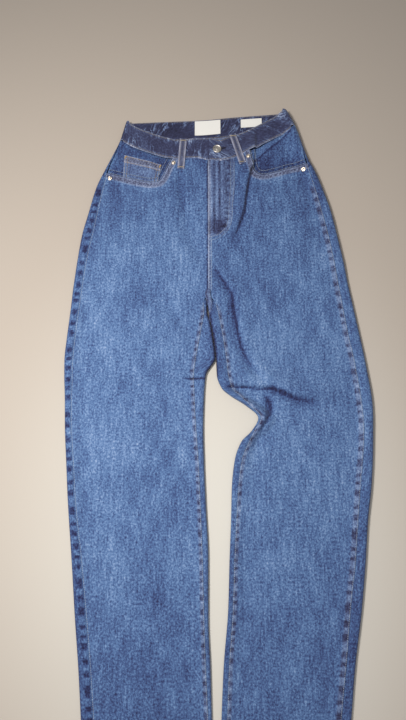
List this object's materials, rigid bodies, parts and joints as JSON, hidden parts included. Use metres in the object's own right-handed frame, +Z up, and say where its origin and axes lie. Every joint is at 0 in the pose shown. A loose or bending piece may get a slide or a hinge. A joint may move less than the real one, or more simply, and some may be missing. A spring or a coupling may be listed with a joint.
{
  "type": "straight jeans",
  "caption": "Straight-leg denim jeans with a high waist, laid flat on the back with the fly closed and a kink pushed into one knee.",
  "frame": {"origin": "on the surface the garment lies on, under the middle of its outline", "axes": "+Y along the legs towards the waist, +X towards the wearer's left, +Z up out of the front"},
  "size_m": [0.5436, 1.124, 0.0203],
  "materials": {
    "denim": "stonewashed denim",
    "dark_denim": "dark washed denim",
    "worn_denim": "worn denim",
    "metal": "satin",
    "label": "woven tape"
  },
  "bodies": {
    "root": {"front_right": "denim", "front_left": "denim", "back_right": "denim", "back_left": "denim", "back_yoke_right": "denim", "back_yoke_left": "denim", "waistband": "dark_denim", "belt_loop_front_right": "worn_denim", "belt_loop_front_left": "worn_denim", "belt_loop_back_right": "worn_denim", "belt_loop_back_centre": "worn_denim", "belt_loop_back_left": "worn_denim", "pocket_facing_right": "denim", "pocket_facing_left": "denim", "coin_pocket": "denim", "back_pocket_right": "denim", "back_pocket_left": "denim", "fly_facing": "denim", "fly_shield": "denim", "zip": "dark_denim", "zip_slider": "metal", "button": "metal", "rivet_right_waist": "metal", "rivet_right_side": "metal", "rivet_left_waist": "metal", "rivet_left_side": "metal", "hem_right": "denim", "hem_left": "denim", "label_main": "label", "label_side": "label"}
  },
  "joints": []
}
